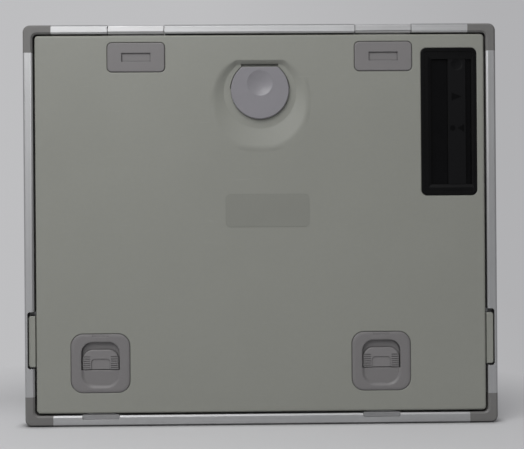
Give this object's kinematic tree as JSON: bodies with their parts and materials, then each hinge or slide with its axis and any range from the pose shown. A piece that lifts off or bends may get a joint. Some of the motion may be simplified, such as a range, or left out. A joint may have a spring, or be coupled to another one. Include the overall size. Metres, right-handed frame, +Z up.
{
  "type": "x-ray film cassette",
  "caption": "Flat x-ray film cassette: aluminium frame, hinged grey lid with slide latches, card clip and black identification window with a sliding shutter.",
  "frame": {"origin": "middle of the bottom edge, at mid thickness", "axes": "+X right along the hinge rail, +Z up from the bottom edge to the hinge rail, lid faces -Y and the tube side faces +Y"},
  "size_m": [0.327, 0.015, 0.277],
  "materials": {
    "aluminium_rail": "satin anodised extrusion",
    "aluminium_hinge": "brighter satin aluminium",
    "corner_plastic": "moulded mid grey",
    "panel_laminate": "smooth dark carbon laminate",
    "screen_white": "smooth coated film base",
    "felt": "black felt",
    "steel": "plain steel",
    "spring_steel": "blued spring steel",
    "keeper_grey": "grey coating",
    "lid_paint": "fine satin greenish grey",
    "tab_grey": "satin grey",
    "grey_plastic": "moulded warm grey",
    "button_plastic": "moulded warm grey",
    "disc_plastic": "moulded cool grey",
    "black_plastic": "moulded black",
    "shutter_plastic": "moulded black",
    "lead": "dull lead foil",
    "foam": "open cell black foam"
  },
  "bodies": {
    "frame": {"rail_top": "aluminium_rail", "rail_bottom": "aluminium_rail", "rail_left": "aluminium_rail", "rail_right": "aluminium_rail", "corner_top_left": "corner_plastic", "corner_top_right": "corner_plastic", "corner_bottom_left": "corner_plastic", "corner_bottom_right": "corner_plastic", "tube_side_panel": "panel_laminate", "front_screen": "screen_white", "light_seal": "felt", "hinge_pin_left": "steel", "hinge_pin_right": "steel", "latch_keeper_left": "keeper_grey", "latch_keeper_right": "keeper_grey"},
    "lid": {"lid_shell": "lid_paint", "lift_tab_left": "tab_grey", "lift_tab_right": "tab_grey", "hinge_leaf_left": "aluminium_hinge", "hinge_leaf_right": "aluminium_hinge", "hinge_cover_left": "grey_plastic", "hinge_cover_right": "grey_plastic", "latch_plate_left": "grey_plastic", "latch_plate_right": "grey_plastic", "id_housing": "black_plastic", "lid_backplate": "steel", "lead_foil": "lead", "pressure_pad": "foam", "back_screen": "screen_white", "clip_pin": "steel", "clip_spring": "spring_steel", "latch_spring_left": "spring_steel", "latch_spring_right": "spring_steel"},
    "latch_left": {"latch_button_left": "button_plastic", "latch_bolt_left": "steel"},
    "latch_right": {"latch_button_right": "button_plastic", "latch_bolt_right": "steel"},
    "card_clip": {"clip_disc": "disc_plastic"},
    "id_shutter": {"id_shutter": "shutter_plastic"}
  },
  "joints": [
    {"name": "lid_hinge", "type": "hinge", "parent": "frame", "child": "lid", "pos_m": [0, -0.0043, 0.2735], "axis": [-1, 0, 0], "range_deg": [0, 90]},
    {"name": "latch_left_slide", "type": "slide", "parent": "lid", "child": "latch_left", "axis": [0, 0, 1], "range_m": [0, 0.0054], "stiffness_N_per_m": 300, "springref_m": -0.006, "deforming": ["latch_spring_left"]},
    {"name": "latch_right_slide", "type": "slide", "parent": "lid", "child": "latch_right", "axis": [0, 0, 1], "range_m": [0, 0.0054], "stiffness_N_per_m": 300, "springref_m": -0.006, "deforming": ["latch_spring_right"]},
    {"name": "card_clip_tilt", "type": "hinge", "parent": "lid", "child": "card_clip", "pos_m": [0, -0.004, 0.2337], "axis": [-1, 0, 0], "range_deg": [0, 7], "stiffness_Nm_per_rad": 0.4, "springref_deg": -5.73, "deforming": ["clip_spring"]},
    {"name": "id_shutter_slide", "type": "slide", "parent": "lid", "child": "id_shutter", "axis": [1, 0, 0], "range_m": [-0.0105, 0]}
  ]
}
